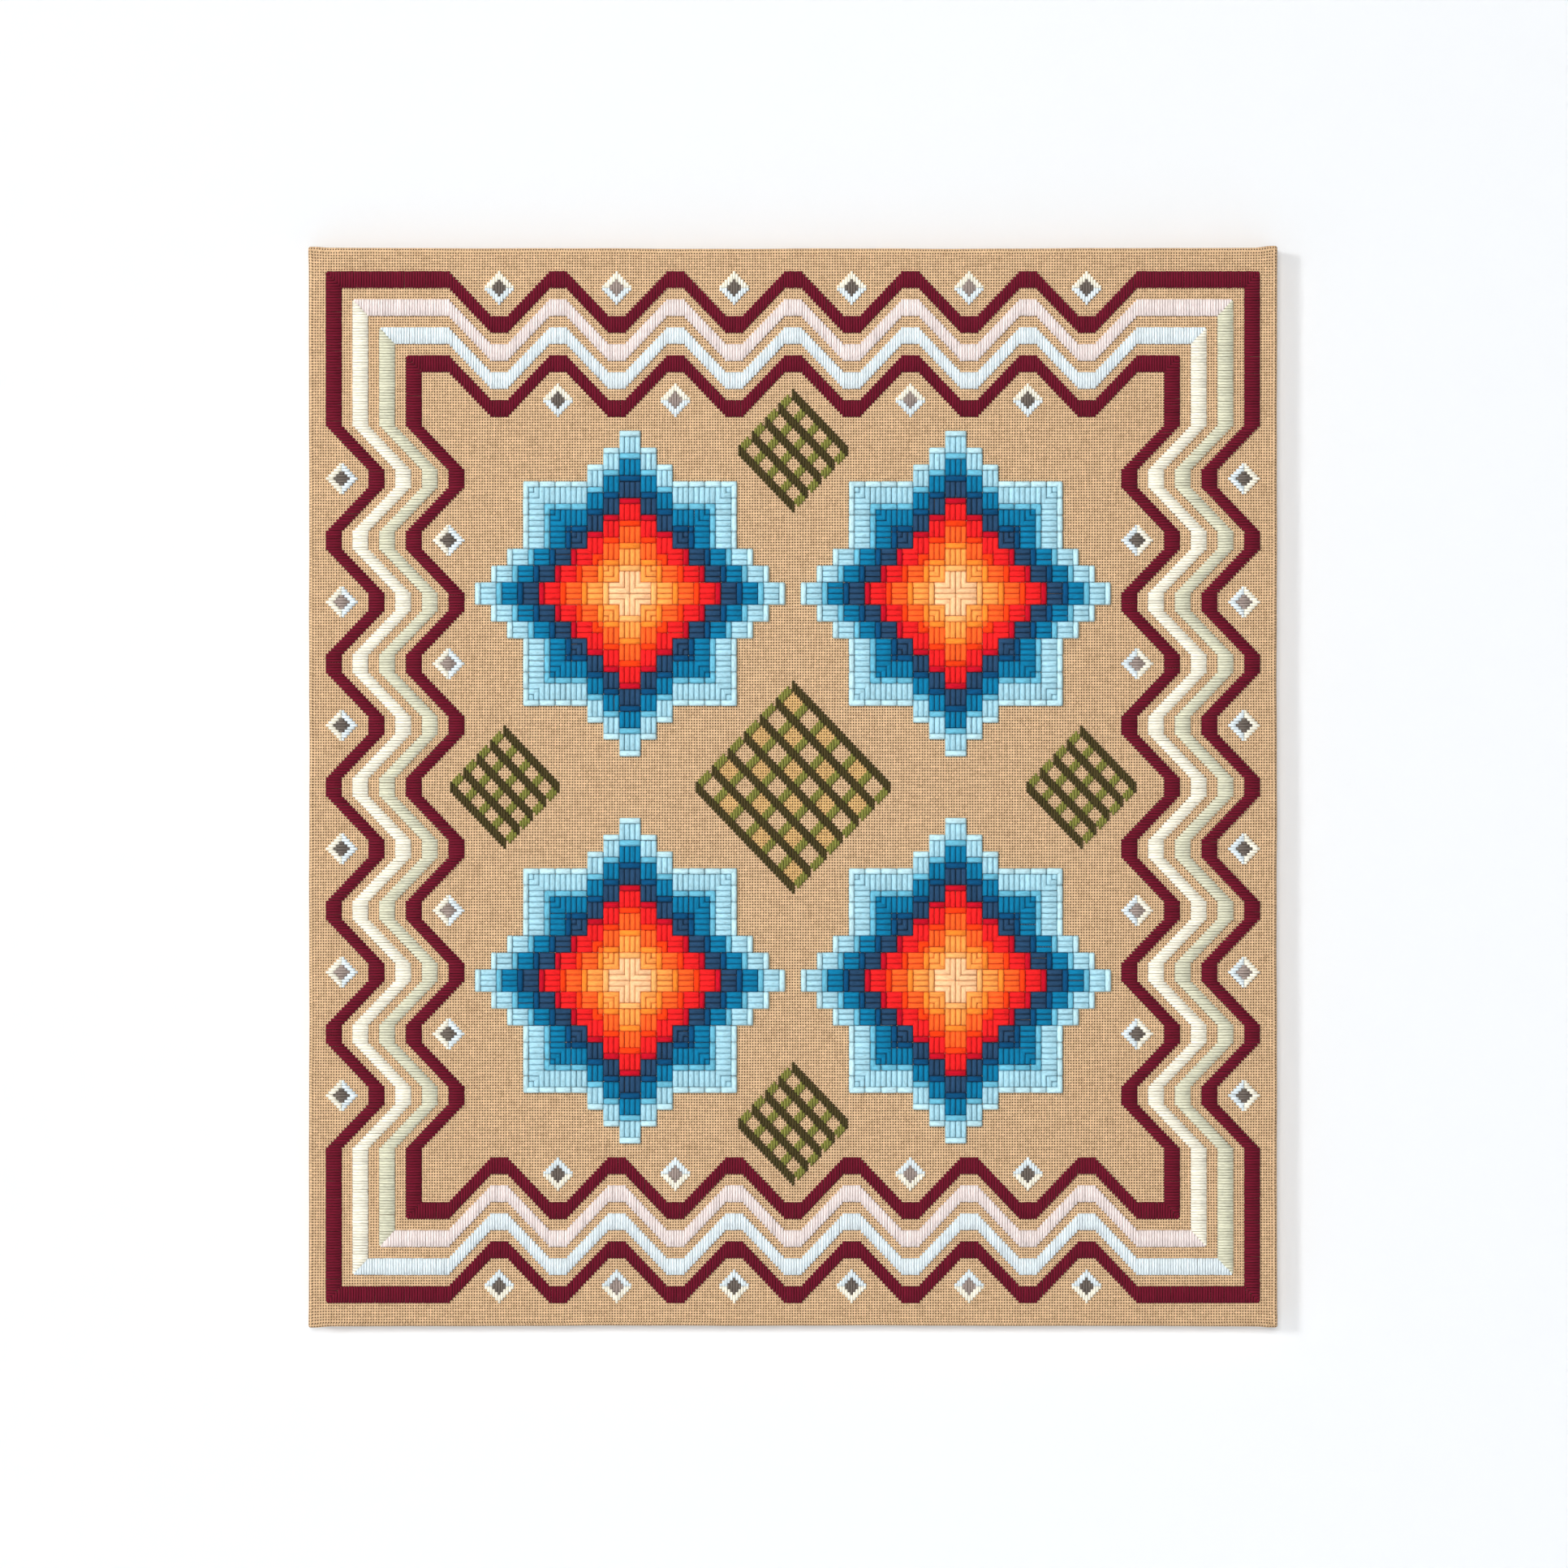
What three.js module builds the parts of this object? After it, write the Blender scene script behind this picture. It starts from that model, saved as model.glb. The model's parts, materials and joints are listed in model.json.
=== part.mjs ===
// A needlepoint canvas panel: a worked mono canvas, stretched and turned over a wooden stretcher frame.
// X runs to the viewer's right and Z up. The worked face looks along -Y.
// The back lies in the plane Y = 0 and the origin is on it, at the middle of the top hem.
// Lengths are in millimetres. The stitching is counted in canvas threads.

import * as THREE from "three";

// Panel and canvas
const PANEL_WIDTH = 500;
const PANEL_HEIGHT = 557;
const CANVAS_THICK = 1.0;
const HEM_WIDTH = 28;
const FRONT_FOLD = 1.8;
const BACK_FOLD = 1.4;
const FACE_INSET = 9;
const CORNER_CUT = 1.2;
const EAR_LENGTH = 9;
const FIT_GAP = 0.3;

// How each edge of the canvas is drawn in at its middle and stands out at its two ends, in millimetres.
// Start is the left or lower end of the edge, end the right or upper one.
const EDGE_TABLE = [
  { side: "top", drawnIn: 0.5, startEar: 0.5, endEar: 1.0 },
  { side: "right", drawnIn: 0.2, startEar: 0.2, endEar: 0.1 },
  { side: "bottom", drawnIn: 0.5, startEar: 0.6, endEar: 0.5 },
  { side: "left", drawnIn: 0.3, startEar: 0.1, endEar: 0.2 },
];
const MOST_DRAWN_IN = 0.5;
const EDGE_STEPS = [0.1, 0.3, 0.5, 0.7, 0.9];

// Stretcher bars
const BAR_DEPTH = 18;
const BAR_WIDTH = 40;
const BAR_CHAMFER = 1.0;
const LIP_WIDTH = 5.5;
const LIP_RISE = 2.6;
const LIP_FALL = 1.2;
const FACE_SLOPE = 1.0;

// Thread count of the canvas
const THREADS_ACROSS = 363;
const THREADS_UP = 385;
const PITCH_X = PANEL_WIDTH / THREADS_ACROSS;
const PITCH_Z = PANEL_HEIGHT / THREADS_UP;

// Zigzag border, in threads: half sizes of its outer line, stitch length and bare gap, wave and its repeats
const BORDER_HALF_X = 175;
const BORDER_HALF_Z = 184;
const STITCH = 6;
const BARE = 4;
const WAVE_DEPTH = 16;
const WAVE_FLAT = 6;
const WAVE_REPEATS = 3;
const WAVE_PERIOD = 2 * (WAVE_DEPTH + WAVE_FLAT);
const MITRE_GAP = 0.2;

// Star medallions, in threads: half the width of the point, then the width of each step down to the flat
const STAR_X = 61;
const STAR_Z = 69;
const STAR_TIP = 58;
const STAR_DROP = 6;
const STAR_TREADS = [4, 6, 6];
const STAR_ROW = 8;
const STAR_SPLIT = 0.4;
const BLUE_ROWS = 3;
const RED_ROWS = 2;

// Trellis diamonds, in threads: centre, number of bars either side of the middle one, spacing
const TRELLIS_TABLE = [
  { name: "trellis_middle", x: 0, z: 0, bars: 3, spacing: 12 },
  { name: "trellis_top", x: 0, z: 120, bars: 2, spacing: 10 },
  { name: "trellis_right", x: 108, z: 0, bars: 2, spacing: 10 },
  { name: "trellis_bottom", x: 0, z: -120, bars: 2, spacing: 10 },
  { name: "trellis_left", x: -108, z: 0, bars: 2, spacing: 10 },
];
const TRELLIS_HALF_BAR = 2;

const YARN_RAISE = 1.0;

const PASTEL_TABLE = [
  { side: "top", outer: "pink", inner: "pale_blue" },
  { side: "right", outer: "sage", inner: "cream" },
  { side: "bottom", outer: "pale_blue", inner: "pink" },
  { side: "left", outer: "cream", inner: "sage" },
];

const LOOKS = {
  canvas: { color: 0xcbaa86, roughness: 0.9 },
  wood: { color: 0xc9a878, roughness: 0.65 },
  burgundy: { color: 0x6b1629, roughness: 0.85 },
  pink: { color: 0xe8dbd7, roughness: 0.85 },
  pale_blue: { color: 0xdee7ea, roughness: 0.85 },
  sage: { color: 0xd6d4be, roughness: 0.85 },
  cream: { color: 0xf0ead8, roughness: 0.85 },
  blue: { color: 0x187498, roughness: 0.85 },
  red: { color: 0xde2020, roughness: 0.85 },
  orange: { color: 0xfa8a3c, roughness: 0.85 },
  olive: { color: 0x80803e, roughness: 0.85 },
};

// Depth planes, from the wall forward
const BAR_BACK = -(CANVAS_THICK + FIT_GAP);
const BAR_FRONT = BAR_BACK - BAR_DEPTH;
const CANVAS_BACK = BAR_FRONT - FIT_GAP;
const CANVAS_FRONT = CANVAS_BACK - CANVAS_THICK;
const YARN_BACK = CANVAS_FRONT - FIT_GAP;
const CENTRE_Z = HEM_WIDTH / 2 - PANEL_HEIGHT / 2;
const BAR_HALF_X = PANEL_WIDTH / 2 - MOST_DRAWN_IN - CANVAS_THICK - FIT_GAP;
const BAR_HALF_Z = PANEL_HEIGHT / 2 - MOST_DRAWN_IN - CANVAS_THICK - FIT_GAP;

// A point of one of the four sides, given along the side and out from the centre, as panel X and Z
function turned(side, along, out) {
  if (side === "top") {
    return [along, out];
  }
  if (side === "bottom") {
    return [-along, -out];
  }
  if (side === "right") {
    return [out, -along];
  }
  return [-out, along];
}

// The canvas

// How far an edge stands out of its straight line at a share of its length
function edgeOffset(row, share, length) {
  const swing = 4 * share * (1 - share);
  const start = Math.max(0, 1 - (share * length) / EAR_LENGTH);
  const end = Math.max(0, 1 - ((1 - share) * length) / EAR_LENGTH);
  return row.startEar * start + row.endEar * end - row.drawnIn * swing;
}

// One ring of points round the panel at an inset, with the uneven edge laid on by weight
function canvasRing(inset, weight) {
  const points = [];
  for (const row of EDGE_TABLE) {
    const upright = row.side === "left" || row.side === "right";
    const half = (upright ? PANEL_HEIGHT : PANEL_WIDTH) / 2;
    const out = (upright ? PANEL_WIDTH : PANEL_HEIGHT) / 2;
    const reach = half - inset - CORNER_CUT;
    const ear = EAR_LENGTH / (2 * reach);
    const backward = row.side === "bottom" || row.side === "right";
    for (const share of [0, ear, ...EDGE_STEPS, 1 - ear, 1]) {
      const known = backward ? 1 - share : share;
      const offset = weight * edgeOffset(row, known, 2 * reach);
      points.push(turned(row.side, (2 * share - 1) * reach, out - inset + offset));
    }
  }
  return points;
}

// The rows of the canvas from the worked face round the edge to the hem, and back along its inner side
function canvasRows() {
  const bend = Math.SQRT1_2;
  const fold = (radius) => radius * (1 - bend);
  return [
    { inset: FACE_INSET, y: CANVAS_FRONT, weight: 0 },
    { inset: FRONT_FOLD, y: CANVAS_FRONT, weight: 1 },
    { inset: fold(FRONT_FOLD), y: CANVAS_FRONT + fold(FRONT_FOLD), weight: 1 },
    { inset: 0, y: CANVAS_FRONT + FRONT_FOLD, weight: 1 },
    { inset: 0, y: -BACK_FOLD, weight: 1 },
    { inset: fold(BACK_FOLD), y: -fold(BACK_FOLD), weight: 1 },
    { inset: BACK_FOLD, y: 0, weight: 1 },
    { inset: HEM_WIDTH, y: 0, weight: 0 },
    { inset: HEM_WIDTH, y: -CANVAS_THICK, weight: 0 },
    { inset: CANVAS_THICK, y: -CANVAS_THICK, weight: 1 },
    { inset: CANVAS_THICK, y: CANVAS_BACK, weight: 1 },
    { inset: FACE_INSET, y: CANVAS_BACK, weight: 0 },
  ];
}

function canvasGeometry() {
  const rows = canvasRows();
  const rings = rows.map((row) => canvasRing(row.inset, row.weight));
  const count = rings[0].length;
  const positions = [];
  const index = [];
  rings.forEach((ring, r) => {
    ring.forEach(([x, z]) => positions.push(x, rows[r].y, z + CENTRE_Z));
  });
  for (let r = 0; r + 1 < rows.length; r += 1) {
    for (let k = 0; k < count; k += 1) {
      const next = (k + 1) % count;
      const a = r * count + k;
      const b = r * count + next;
      index.push(a, b, a + count, b, b + count, a + count);
    }
  }
  const last = (rows.length - 1) * count;
  const outline = rings[0].map(([x, z]) => new THREE.Vector2(x, z));
  for (const [a, b, c] of THREE.ShapeUtils.triangulateShape(outline, [])) {
    index.push(a, b, c);
    index.push(last + a, last + c, last + b);
  }
  const geometry = new THREE.BufferGeometry();
  geometry.setAttribute("position", new THREE.Float32BufferAttribute(positions, 3));
  geometry.setIndex(index);
  geometry.computeVertexNormals();
  return geometry;
}

// The stretcher bars

// The bar's section as inset from its outer face and depth: a raised lip outside, a sloping face inside
function barSection() {
  return [
    [0, BAR_BACK],
    [0, BAR_FRONT + BAR_CHAMFER],
    [BAR_CHAMFER, BAR_FRONT],
    [LIP_WIDTH, BAR_FRONT],
    [LIP_WIDTH + LIP_FALL, BAR_FRONT + LIP_RISE],
    [BAR_WIDTH, BAR_FRONT + LIP_RISE + FACE_SLOPE],
    [BAR_WIDTH, BAR_BACK],
  ];
}

function barGeometry(side) {
  const upright = side === "left" || side === "right";
  const half = upright ? BAR_HALF_Z : BAR_HALF_X;
  const out = upright ? BAR_HALF_X : BAR_HALF_Z;
  const section = barSection();
  const count = section.length;
  const positions = [];
  const index = [];
  for (const end of [-1, 1]) {
    for (const [inset, y] of section) {
      const [x, z] = turned(side, end * (half - inset - FIT_GAP / Math.SQRT2), out - inset);
      positions.push(x, y, z + CENTRE_Z);
    }
  }
  for (let k = 0; k < count; k += 1) {
    const next = (k + 1) % count;
    index.push(k, next, count + k, next, count + next, count + k);
  }
  const outline = section.map(([inset, y]) => new THREE.Vector2(inset, y));
  for (const [a, b, c] of THREE.ShapeUtils.triangulateShape(outline, [])) {
    index.push(a, c, b);
    index.push(count + a, count + b, count + c);
  }
  const geometry = new THREE.BufferGeometry();
  geometry.setAttribute("position", new THREE.Float32BufferAttribute(positions, 3));
  geometry.setIndex(index);
  geometry.computeVertexNormals();
  return geometry;
}

// The worked areas

const inPlane = ([across, up]) => new THREE.Vector2(across * PITCH_X, up * PITCH_Z);

// A flat area of satin stitch, from outlines counted in threads that run clockwise
function yarnGeometry(outline, holes = []) {
  const shape = new THREE.Shape(outline.map(inPlane).reverse());
  shape.holes = holes.map((hole) => new THREE.Path(hole.map(inPlane)));
  const geometry = new THREE.ExtrudeGeometry(shape, { depth: YARN_RAISE, bevelEnabled: false });
  geometry.rotateX(Math.PI / 2);
  geometry.translate(0, YARN_BACK, CENTRE_Z);
  return geometry;
}

// The bends of the zigzag from the middle of a side to its corner, as threads along and threads drawn inward
function waveBends() {
  const bends = [];
  for (let n = 0; n < WAVE_REPEATS; n += 1) {
    const start = WAVE_FLAT / 2 + n * WAVE_PERIOD;
    bends.push([start, 0]);
    bends.push([start + WAVE_DEPTH, WAVE_DEPTH]);
    bends.push([start + WAVE_DEPTH + WAVE_FLAT, WAVE_DEPTH]);
    bends.push([start + 2 * WAVE_DEPTH + WAVE_FLAT, 0]);
  }
  return bends;
}

// One line of the zigzag along a side at a depth from the border's outer line, mitre to mitre
function waveLine(side, depth, shorten) {
  const upright = side === "left" || side === "right";
  const half = upright ? BORDER_HALF_Z : BORDER_HALF_X;
  const out = upright ? BORDER_HALF_X : BORDER_HALF_Z;
  const right = [...waveBends(), [half - depth - shorten, 0]];
  const left = right.map(([along, inward]) => [-along, inward]).reverse();
  return [...left, ...right].map(([along, inward]) => turned(side, along, out - depth - inward));
}

const SIDES = EDGE_TABLE.map((row) => row.side);

function zigzagRing(depth) {
  const line = (at) => SIDES.flatMap((side) => waveLine(side, at, 0).slice(1));
  return yarnGeometry(line(depth), [line(depth + STITCH)]);
}

function zigzagSide(side, depth) {
  const outer = waveLine(side, depth, MITRE_GAP);
  const inner = waveLine(side, depth + STITCH, MITRE_GAP).reverse();
  return yarnGeometry([...outer, ...inner]);
}

// The bends of a star's stepped line from its upright axis outwards, lowered and drawn in by a number of threads
function starBends(lowered, drawnIn) {
  const bends = [];
  let end = -drawnIn;
  let level = STAR_TIP - lowered;
  for (const tread of STAR_TREADS) {
    end += tread;
    bends.push([end, level]);
    level -= STAR_DROP;
    bends.push([end, level]);
  }
  bends.push([STAR_TIP, level]);
  return bends;
}

// An eighth of a star's line: its bends as far as the diagonal, and the point where it meets that
function starEighth(lowered, drawnIn) {
  const bends = starBends(lowered, drawnIn);
  const kept = [];
  for (let k = 0; k < bends.length; k += 1) {
    const [along, up] = bends[k];
    if (up <= along) {
      const [before, high] = bends[k - 1];
      const share = (high - before) / (high - before + along - up);
      const meet = before + share * (along - before);
      kept.push([meet, meet]);
      break;
    }
    kept.push([along, up]);
  }
  return kept;
}

function starLine(x, z, lowered, drawnIn) {
  const eighth = starEighth(lowered, drawnIn);
  const mirrored = eighth.slice(0, -1).map(([along, up]) => [-along, up]);
  const quarter = [...mirrored.reverse(), ...eighth];
  return SIDES.flatMap((side) => quarter.map(([along, up]) => turned(side, along, up)))
    .map(([across, up]) => [across + x, up + z]);
}

function starAreas(x, z) {
  const blueEnd = BLUE_ROWS * STAR_ROW;
  const redEnd = blueEnd + RED_ROWS * STAR_ROW;
  const outside = (end) => starLine(x, z, end - STAR_SPLIT / 2, -STAR_SPLIT / 2);
  const inside = (end) => starLine(x, z, end + STAR_SPLIT / 2, STAR_SPLIT / 2);
  return {
    blue: yarnGeometry(starLine(x, z, 0, 0), [outside(blueEnd)]),
    red: yarnGeometry(inside(blueEnd), [outside(redEnd)]),
    orange: yarnGeometry(inside(redEnd)),
  };
}

const diamond = (x, z, half) => [
  [x, z + half],
  [x + half, z],
  [x, z - half],
  [x - half, z],
];

function trellisGeometry({ x, z, bars, spacing }) {
  const holes = [];
  for (let i = -bars; i < bars; i += 1) {
    for (let j = -bars; j < bars; j += 1) {
      const across = ((j - i) * spacing) / 2;
      const up = ((i + j + 1) * spacing) / 2;
      holes.push(diamond(x + across, z + up, spacing / 2 - TRELLIS_HALF_BAR));
    }
  }
  return yarnGeometry(diamond(x, z, bars * spacing + TRELLIS_HALF_BAR), holes);
}

// The whole panel

const panel = new THREE.Group();
panel.name = "needlepoint_panel";

function add(name, geometry, look) {
  const { color, roughness } = LOOKS[look];
  const material = new THREE.MeshStandardMaterial({ color, roughness, metalness: 0 });
  const mesh = new THREE.Mesh(geometry, material);
  mesh.name = name;
  panel.add(mesh);
}

add("canvas", canvasGeometry(), "canvas");
for (const side of SIDES) {
  add(`bar_${side}`, barGeometry(side), "wood");
}

const ROW = STITCH + BARE;
add("zigzag_outer", zigzagRing(0), "burgundy");
for (const { side, outer, inner } of PASTEL_TABLE) {
  add(`band_${side}_outer`, zigzagSide(side, ROW), outer);
  add(`band_${side}_inner`, zigzagSide(side, 2 * ROW), inner);
}
add("zigzag_inner", zigzagRing(3 * ROW), "burgundy");

for (const [rowName, z] of [["upper", STAR_Z], ["lower", -STAR_Z]]) {
  for (const [columnName, x] of [["left", -STAR_X], ["right", STAR_X]]) {
    const areas = starAreas(x, z);
    for (const [look, geometry] of Object.entries(areas)) {
      add(`star_${rowName}_${columnName}_${look}`, geometry, look);
    }
  }
}
for (const row of TRELLIS_TABLE) {
  add(row.name, trellisGeometry(row), "olive");
}

export default panel;
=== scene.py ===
"""Dresses a needlepoint canvas panel: open mono canvas on stretcher bars, with every counted stitch.

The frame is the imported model's own: metres, X to the viewer's right, Y from the worked face back to the
wall and Z up, with the origin on the back plane at the middle of the top hem.
Places on the canvas are counted in threads from the panel's middle, where whole numbers are holes.
"""

import json
import math

import bpy
import numpy as np
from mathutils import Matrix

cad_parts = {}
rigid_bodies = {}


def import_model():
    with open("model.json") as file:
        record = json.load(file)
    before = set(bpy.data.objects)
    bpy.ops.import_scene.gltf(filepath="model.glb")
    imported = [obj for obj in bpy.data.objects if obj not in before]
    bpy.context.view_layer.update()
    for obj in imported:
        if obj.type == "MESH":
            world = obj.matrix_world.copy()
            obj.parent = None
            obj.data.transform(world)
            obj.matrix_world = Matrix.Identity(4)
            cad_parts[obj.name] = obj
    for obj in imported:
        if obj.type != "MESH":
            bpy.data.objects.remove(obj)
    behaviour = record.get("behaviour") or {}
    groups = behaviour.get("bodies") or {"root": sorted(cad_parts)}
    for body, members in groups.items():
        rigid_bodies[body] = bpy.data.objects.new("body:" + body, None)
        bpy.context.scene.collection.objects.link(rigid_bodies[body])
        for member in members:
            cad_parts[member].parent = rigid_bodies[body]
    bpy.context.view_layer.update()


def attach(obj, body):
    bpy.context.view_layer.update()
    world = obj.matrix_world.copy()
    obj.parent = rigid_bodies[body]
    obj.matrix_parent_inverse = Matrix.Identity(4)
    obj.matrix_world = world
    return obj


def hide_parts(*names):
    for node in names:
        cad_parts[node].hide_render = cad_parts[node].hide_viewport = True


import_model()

bl_info = {
    "name": "Needlepoint Panel",
    "version": (1, 0, 0),
    "blender": (4, 5, 0),
    "location": "View3D > Sidebar > Needlepoint",
    "description": "Builds a worked canvas panel on its stretcher frame",
    "category": "Object",
}

SIDES = ("top", "right", "bottom", "left")

# Half the width of a star's point, then the width of each step down to the flat, in threads.
STAR_TREADS = (4, 6, 6)
# A star's rows from its edge to its heart: the yarn of the long stitches, the yarn of the backstitches laid
# along their outer ends, and the solid that both belong to.
STAR_ROWS = (
    {"yarn": "ice", "edging": "frost", "area": "blue"},
    {"yarn": "blue", "edging": "sky", "area": "blue"},
    {"yarn": "slate", "edging": "navy", "area": "blue"},
    {"yarn": "red", "edging": "crimson", "area": "red"},
    {"yarn": "orange", "edging": "scarlet", "area": "red"},
    {"yarn": "apricot", "edging": "amber", "area": "orange"},
    {"yarn": "peach", "edging": "honey", "area": "orange"},
)
# The pale bands of each side of the border.
PALE_SIDES = (
    {"side": "top", "outer": "pink", "inner": "pale_blue"},
    {"side": "right", "outer": "sage", "inner": "cream"},
    {"side": "bottom", "outer": "pale_blue", "inner": "pink"},
    {"side": "left", "outer": "cream", "inner": "sage"},
)
# Trellis diamonds: centre, bars either side of the middle one and their spacing, in threads.
TRELLIS_SPOTS = (
    {"node": "trellis_middle", "x": 0, "z": 0, "bars": 3, "spacing": 12},
    {"node": "trellis_top", "x": 0, "z": 120, "bars": 2, "spacing": 10},
    {"node": "trellis_right", "x": 108, "z": 0, "bars": 2, "spacing": 10},
    {"node": "trellis_bottom", "x": 0, "z": -120, "bars": 2, "spacing": 10},
    {"node": "trellis_left", "x": -108, "z": 0, "bars": 2, "spacing": 10},
)
# Small diamonds in the pockets of the zigzag: half waves along the side, depth in threads, heart.
ACCENT_SPOTS = (
    {"half_wave": 1, "depth": 6, "heart": "grey"},
    {"half_wave": 3, "depth": 6, "heart": "taupe"},
    {"half_wave": 5, "depth": 6, "heart": "grey"},
    {"half_wave": 2, "depth": 46, "heart": "taupe"},
    {"half_wave": 4, "depth": 46, "heart": "grey"},
)
# Soft lamps aimed at the panel: place across, away from the wall and above the panel's middle, in metres,
# and what each is let fall on.
LAMPS = (
    {"name": "left_lamp", "x": -4.0, "y": -6.0, "up": 1.2, "size": 1.0, "watts": 150, "falls_on": "all"},
    {"name": "wall_lamp", "x": -0.2, "y": -5.0, "up": 0.6, "size": 1.2, "watts": 138, "falls_on": "stage"},
    {"name": "key_lamp", "x": -2.6, "y": -3.6, "up": 3.0, "size": 0.9, "watts": 178, "falls_on": "panel"},
    {"name": "fill_lamp", "x": 0.8, "y": -5.0, "up": 0.2, "size": 1.6, "watts": 44, "falls_on": "panel"},
    {"name": "rear_lamp", "x": 1.5, "y": 4.0, "up": 1.2, "size": 2.5, "watts": 130, "falls_on": "all"},
)
# How each edge is drawn in at its middle and stands out at its folded ends, in metres.
EDGES = {
    "top": {"drawn_in": 0.0005, "start_ear": 0.0005, "end_ear": 0.0010, "phase": 0.4},
    "right": {"drawn_in": 0.0002, "start_ear": 0.0002, "end_ear": 0.0001, "phase": 1.9},
    "bottom": {"drawn_in": 0.0005, "start_ear": 0.0006, "end_ear": 0.0005, "phase": 2.7},
    "left": {"drawn_in": 0.0003, "start_ear": 0.0001, "end_ear": 0.0002, "phase": 4.1},
}
# Places along an edge near its folded corners, in millimetres from its end, and about how far apart in
# metres the others are.
CORNER_PLACES = (0, 0.4, 0.8, 1.2, 2, 3, 4, 5, 6, 7.5, 9, 11, 13, 15, 17, 19, 21, 24)
EDGE_SPACING = 0.012
# Rows of the canvas's profile along each stretch of it.
PROFILE_ROWS = {"front_fold": 6, "side": 9, "back_fold": 5, "hem": 6, "hem_inside": 5, "side_inside": 6}
# A folded corner's pleat at the face, and what the depth adds, in metres.
PLEAT = {"reach": 0.006, "more_reach": 0.013, "softness": 0.0024, "more_softness": -0.0014}
# Furthest that a pleat's exponent goes, so that it stays a finite number.
EXPONENT_LIMIT = 40
# Ripples along an edge: height in metres, radians to a metre, times the edge's own phase.
RIPPLES = (
    {"height": 0.00012, "rate": 47, "phases": 1},
    {"height": 0.00006, "rate": 131, "phases": 2},
)
# How far in from an edge its unevenness starts to fade and over what distance, in metres.
FADE = {"start": 0.0018, "over": 0.009}
# The crease in each mitre of the hem, in metres: depth, width, where it starts and how soon it is full.
CREASE = {"depth": 0.0009, "width": 0.0011, "start": 0.002, "over": 0.004}
# Cross sections along a bar, the most of a side that easing takes, the angle in degrees past which an edge is
# sharp, and how far in metres the grain moves on from bar to bar.
BAR_STATIONS = 13
EASED_SHARE = 0.4
SHARP_ANGLE = 40
GRAIN_SHIFT = 0.37
# Faces of a box, by the numbers of its corners, which count through X, then Y, then Z.
BOX_FACES = ((0, 1, 3, 2), (4, 6, 7, 5), (0, 4, 5, 1), (2, 3, 7, 6), (1, 5, 7, 3), (0, 2, 6, 4))
# Rows of the border, counted from its outer edge.
BURGUNDY_ROWS = (("zigzag_outer", 0), ("zigzag_inner", 3))
PALE_ROWS = (("outer", 1), ("inner", 2))
# Half of a section across laid yarn: share of the half width, share of the height.
FINE_HALF = ((0.42, 0.95), (0.87, 0.56), (1.0, 0.0))
ROUND_HALF = ((0.27, 0.98), (0.7, 0.8), (0.93, 0.45), (1.0, 0.0))
BACK_HALF = ((0.6, 0.85), (1.0, 0.0))
# Half of the shape along laid yarn: shoulders from the end, share of the width, share of the height.
FINE_END = ((0, 1.0, -0.3), (1, 1.0, 0.95))
ROUND_END = ((0, 0.94, -0.3), (0.4, 0.98, 0.6), (1, 1.0, 0.98))
BLUNT_END = ((0, 0.7, -0.3), (0.35, 0.9, 0.6), (1, 1.0, 0.98))
BACK_END = ((0, 0.6, -0.3), (1, 1.0, 1.0))
# Kinds of laid yarn: threads under its width, shares of the settings' rise and shoulder, section and end.
FINE_YARN = {"threads": 1.05, "rise": 1.0, "shoulder": 1.0, "section": FINE_HALF, "end": FINE_END}
THICK_YARN = {"threads": 2.08, "rise": 1.3, "shoulder": 1.6, "section": ROUND_HALF, "end": ROUND_END}
EDGING_YARN = {"threads": 2.2, "rise": 1.65, "shoulder": 1.8, "section": ROUND_HALF, "end": BLUNT_END}
# How much stitches differ, as a share of a thread for their places and of the usual amount for the rest.
SPREAD = {"tuck": 0.03, "place": 0.025, "width": 0.025, "rise": 0.04, "back_rise": 0.12, "shade": 0.045}
# How many of those spreads a stitch may differ by, and the length of yarn its fibres are picked from.
SPREAD_LIMIT = 2.5
YARN_RUN = 90
# Share of the full rise that the shortest stitch has, and what each thread under it adds.
PLUMP_LEAST = 0.5
PLUMP_EACH = 0.14
# Most of a strand's length that the shoulder at one end takes.
SHOULDER_SHARE = 0.3
# Light that reaches the yarn where it dips into a hole and where it lies against the next strand, the power
# of the height by which it comes back, and how much more a bright yarn passes on into its hollows.
HOLE_LIGHT = 0.22
HOLE_POWER = 1.5
SEAM_LIGHT = 0.4
SEAM_POWER = 0.75
YARN_GLOW = 0.55


def size(name, description, default):
    """A length setting in metres."""
    return bpy.props.FloatProperty(
        name=name, description=description, default=default, unit="LENGTH", precision=5
    )


def count(name, description, default):
    """A whole number of threads or pieces."""
    return bpy.props.IntProperty(name=name, description=description, default=default)


def share(name, description, default):
    """A plain number, such as a share or a strength."""
    return bpy.props.FloatProperty(name=name, description=description, default=default)


def colour(name, description, *default):
    """A display colour, given as red, green and blue from 0 to 255."""
    return bpy.props.FloatVectorProperty(
        name=name,
        description=description,
        default=[value / 255 for value in default],
        subtype="COLOR_GAMMA",
        size=3,
        min=0,
        max=1,
    )


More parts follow.
